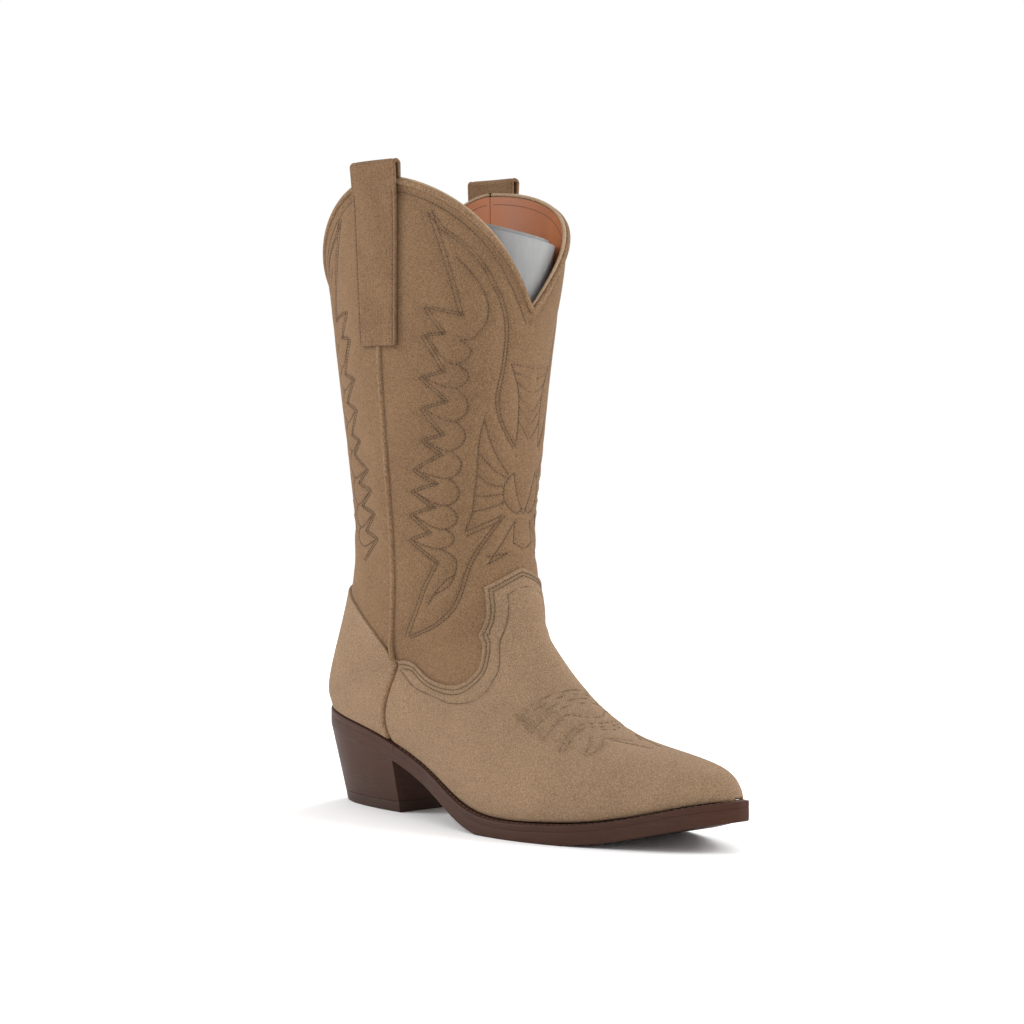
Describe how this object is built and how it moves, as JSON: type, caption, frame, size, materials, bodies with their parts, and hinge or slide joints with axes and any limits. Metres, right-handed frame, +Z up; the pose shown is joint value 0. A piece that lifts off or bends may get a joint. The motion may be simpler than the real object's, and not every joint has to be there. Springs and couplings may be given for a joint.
{
  "type": "cowboy boot",
  "caption": "Right western boot: scalloped calf-high shaft with pull straps, tongued vamp, pointed toe, welted sole, underslung heel, and a rolled sheet inside the shaft.",
  "frame": {"origin": "bottom centre of the boot's bounding box, on the floor it stands on", "axes": "+Z up; -Y towards the toe; -X towards the outer side of the right foot"},
  "size_m": [0.1152, 0.29, 0.3395],
  "materials": {
    "suede": "napped suede, tone-on-tone stitching",
    "trim": "folded napped leather",
    "strap": "doubled, napped cloth-backed strap",
    "lining": "smooth",
    "board": "pressed fibre board",
    "cork": "cork granules",
    "steel": "plain",
    "sole": "matte, faint stacked grain",
    "lift": "matte",
    "sheet": "smooth, slightly glossy"
  },
  "bodies": {
    "boot": {"shaft_front": "suede", "shaft_back": "suede", "vamp": "suede", "counter_cover": "suede", "heel_counter": "board", "toe_puff": "board", "shaft_lining_front": "lining", "lining_back": "lining", "vamp_lining": "lining", "sock_liner": "lining", "top_binding_front": "trim", "top_binding_back": "trim", "side_piping_outer": "trim", "side_piping_inner": "trim", "pull_strap_outer": "strap", "pull_strap_inner": "strap", "insole_board": "board", "bottom_filler": "cork", "shank": "steel", "welt": "sole", "heel_rand": "sole", "outsole": "sole", "heel_block": "sole", "heel_top_lift": "lift", "heel_screw": "steel", "heel_nail_1": "steel", "heel_nail_2": "steel", "heel_nail_3": "steel", "heel_nail_4": "steel", "top_lift_nail_1": "steel", "top_lift_nail_2": "steel", "top_lift_nail_3": "steel", "top_lift_nail_4": "steel"},
    "former": {"shaft_former": "sheet"}
  },
  "joints": [
    {"name": "former_lift", "type": "slide", "parent": "boot", "child": "former", "axis": [0, 0, 1], "range_m": [0, 0.24]}
  ]
}
